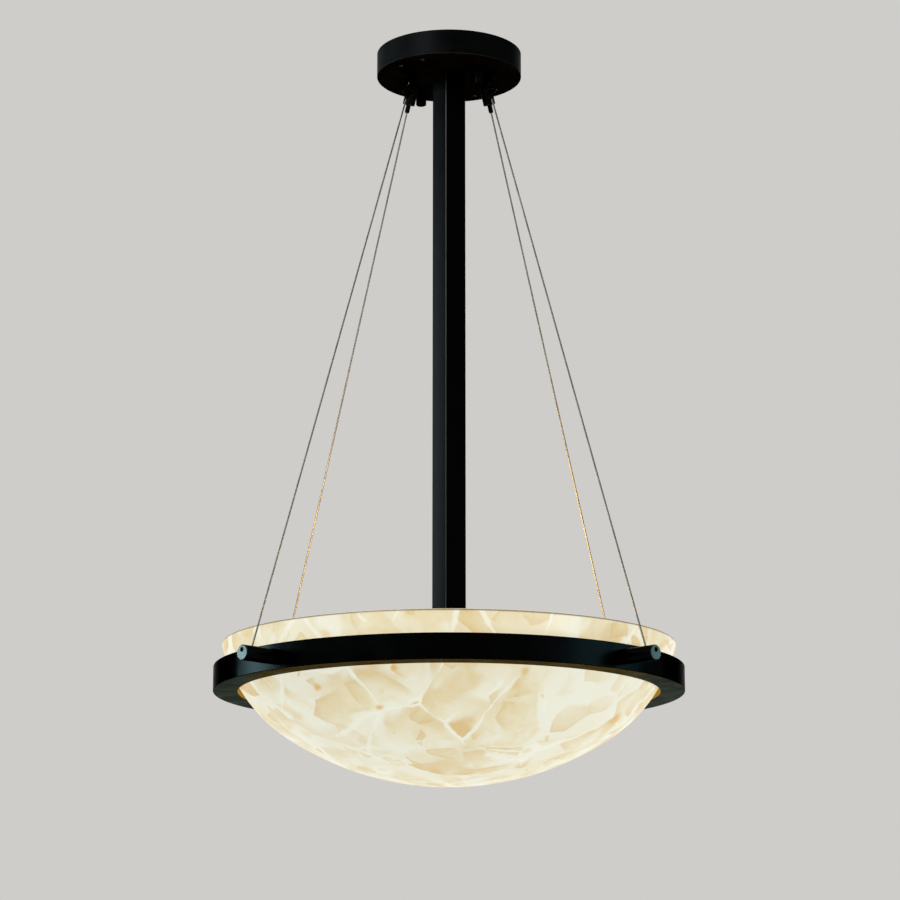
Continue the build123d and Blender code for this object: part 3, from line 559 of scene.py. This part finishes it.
def stranded(name, low, high, radius, finish, body):
    """A wire rope: round strands laid about its axis as one twisted solid."""
    axis = (high - low).normalized()
    side = axis.orthogonal().normalized()
    across = axis.cross(side)
    length = (high - low).length
    count = int(length / lay_length * rings_per_turn)
    strand = radius / 3
    mesh = bmesh.new()
    rings = []
    for i in range(count + 1):
        turn = tau * i / rings_per_turn
        centre = low.lerp(high, i / count)
        ring = []
        for k in range(strand_count):
            middle = turn + tau * k / strand_count
            for m in range(strand_points):
                lobe = middle + (m / (strand_points - 1) - 0.5) * strand_arc
                x = 2 * strand * cos(middle) + strand * cos(lobe)
                y = 2 * strand * sin(middle) + strand * sin(lobe)
                ring.append(mesh.verts.new(centre + side * x + across * y))
        rings.append(ring)
    for below, above in zip(rings, rings[1:]):
        for k in range(len(below)):
            j = (k + 1) % len(below)
            mesh.faces.new((below[k], below[j], above[j], above[k]))
    mesh.faces.new(list(reversed(rings[0])))
    mesh.faces.new(rings[-1])
    data = bpy.data.meshes.new(name)
    mesh.to_mesh(data)
    mesh.free()
    for face in data.polygons:
        face.use_smooth = True
    data.materials.append(finish)
    rope = bpy.data.objects.new(name, data)
    bpy.context.scene.collection.objects.link(rope)
    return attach(rope, body)


ropes = {}
for corner in corners:
    node = f"cable_{corner}"
    low, high = ends_of(node)
    radius = rod_radius(node) + strand_relief
    rope = stranded(f"wire_rope_{corner}", low, high, radius, wire_steel, "fixture")
    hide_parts(node)
    ropes[corner] = rope


# ---------------------------------------------------------------- stage

backdrop = (0.62, 0.61, 0.59)
ambient = (0.42, 0.43, 0.45)
floor_dark = (0.61, 0.60, 0.58)
floor_light = (0.63, 0.62, 0.60)
floor_lift = 0.50               # brings the floor up to the backdrop where it is seen
floor_depth = 3.9
floor_radius = 30


def seen_in(tree):
    """A factor in a node tree: 1 where the eye looks, straight or by way of gloss or glass."""
    path = tree.nodes.new("ShaderNodeLightPath").outputs
    seen = path["Is Camera Ray"]
    for name in ("Is Glossy Ray", "Is Transmission Ray"):
        larger = tree.nodes.new("ShaderNodeMath")
        larger.operation = "MAXIMUM"
        tree.links.new(seen, larger.inputs[0])
        tree.links.new(path[name], larger.inputs[1])
        seen = larger.outputs[0]
    return seen


def make_world():
    """A pale room: what the eye and reflections see, and a softer level that lights the part."""
    world = bpy.data.worlds.new("room")
    bpy.context.scene.world = world
    world.use_nodes = True
    tree = world.node_tree
    seen = tree.nodes["Background"]
    seen.inputs["Color"].default_value = (*backdrop, 1)
    lit = tree.nodes.new("ShaderNodeBackground")
    lit.inputs["Color"].default_value = (*ambient, 1)
    choose = tree.nodes.new("ShaderNodeMixShader")
    tree.links.new(seen_in(tree), choose.inputs[0])
    tree.links.new(lit.outputs[0], choose.inputs[1])
    tree.links.new(seen.outputs[0], choose.inputs[2])
    tree.links.new(choose.outputs[0], tree.nodes["World Output"].inputs["Surface"])


def make_floor():
    """A pale floor that shows as bright as the backdrop and keeps its shadows."""
    f = Finish.new("floor_pale")
    tone = f.ramp(f.noise(0.8), (0.3, floor_dark), (0.7, floor_light))
    f.set(Base_Color=tone, Roughness=0.9, Emission_Color=tone)
    f.set(Emission_Strength=f.math("MULTIPLY", seen_in(f.tree), floor_lift))
    mesh = bmesh.new()
    bmesh.ops.create_circle(mesh, cap_ends=True, segments=96, radius=floor_radius)
    data = bpy.data.meshes.new("floor")
    mesh.to_mesh(data)
    mesh.free()
    data.materials.append(f.material)
    floor = bpy.data.objects.new("floor", data)
    floor.location = (0, 0, -floor_depth)
    bpy.context.scene.collection.objects.link(floor)


make_world()
make_floor()


# ---------------------------------------------------------------- light

def nodes_of(*slots):
    """The pieces of some material slots."""
    rows = frame["record"]["subparts"]
    return [nodes[row["node"]] for row in rows if row["material_slot"] in slots]


def area_light(name, place, target, size, energy, colour, diffuse=True):
    """A rectangular light that looks at a target and isn't seen itself."""
    data = bpy.data.lights.new(name, "AREA")
    data.shape = "RECTANGLE"
    data.size, data.size_y = size
    data.energy = energy
    data.color = colour
    light = bpy.data.objects.new(name, data)
    light.location = place
    light.rotation_euler = (Vector(target) - Vector(place)).to_track_quat("-Z", "Y").to_euler()
    light.visible_diffuse = diffuse
    light.visible_camera = False
    bpy.context.scene.collection.objects.link(light)
    return light


def only_on(light, receivers):
    """Lets a light fall on some pieces only, as flags do in a studio."""
    lit = bpy.data.collections.new(light.name + "_receivers")
    for piece in receivers:
        lit.objects.link(piece)
    light.light_linking.receiver_collection = lit


area_light("key", place=(-1.8, -2.2, 0.9), target=(0, 0, -0.4), size=(1.6, 1.2),
           energy=45, colour=(1.0, 0.98, 0.95))
area_light("fill", place=(2.2, -1.6, -1.2), target=(0, 0, -0.5), size=(1.2, 1.2),
           energy=16, colour=(0.95, 0.97, 1.0))

# the light that rises out of the bowl
lamp_glow = area_light("lamp_glow", place=(0, 0, -0.640), target=(0, 0, 0), size=(0.26, 0.26),
                       energy=6.5, colour=(1.0, 0.55, 0.14))
fittings = nodes_of("canopy_metal", "gripper_metal", "sleeve_metal", "nipple_brass")
only_on(lamp_glow, [*ropes.values(), *fittings])

# soft panels that show only in the gloss of some pieces: name, turn in degrees from the front
# and to the left if negative, height, size, radiance, colour, and the pieces
panel_reach = 2.2               # from the axis
left_rim, right_rim = (-103, -0.36, (0.75, 0.35)), (77, -0.36, (1.5, 0.40))
cool_left, cool_right = (0.68, 0.98, 1.0), (0.45, 0.95, 1.0)
rings, pegs = nodes_of("ring_metal"), nodes_of("peg_metal")
back_ropes = [ropes["back_left"], ropes["back_right"]]
front_ropes = [ropes["front_left"], ropes["front_right"]]
panels = (
    ("ring_left", *left_rim, 140, cool_left, rings),
    ("ring_right", *right_rim, 11, cool_right, rings),
    ("peg_left", *left_rim, 78, cool_left, pegs),
    ("peg_right", *right_rim, 8, cool_right, pegs),
    ("canopy_left", -105, 0.30, (2.6, 1.3), 4.6, (0.90, 1.0, 1.0), nodes_of("canopy_metal")),
    ("stem_left", -111, 0.05, (0.9, 1.0), 18.0, (0.92, 1.0, 1.0), nodes_of("stem_metal")),
    ("cables_back", -50, -0.15, (1.4, 0.9), 4.0, (1.0, 1.0, 0.94), back_ropes),
    ("cables_front", -70, -0.35, (1.0, 0.7), 1.5, (1.0, 1.0, 0.90), front_ropes),
)
for name, turn, height, size, radiance, colour, receivers in panels:
    place = (panel_reach * sin(radians(turn)), -panel_reach * cos(radians(turn)), height)
    energy = radiance * pi * size[0] * size[1]
    panel = area_light(name, place, (0, 0, height), size, energy, colour, diffuse=False)
    only_on(panel, receivers)
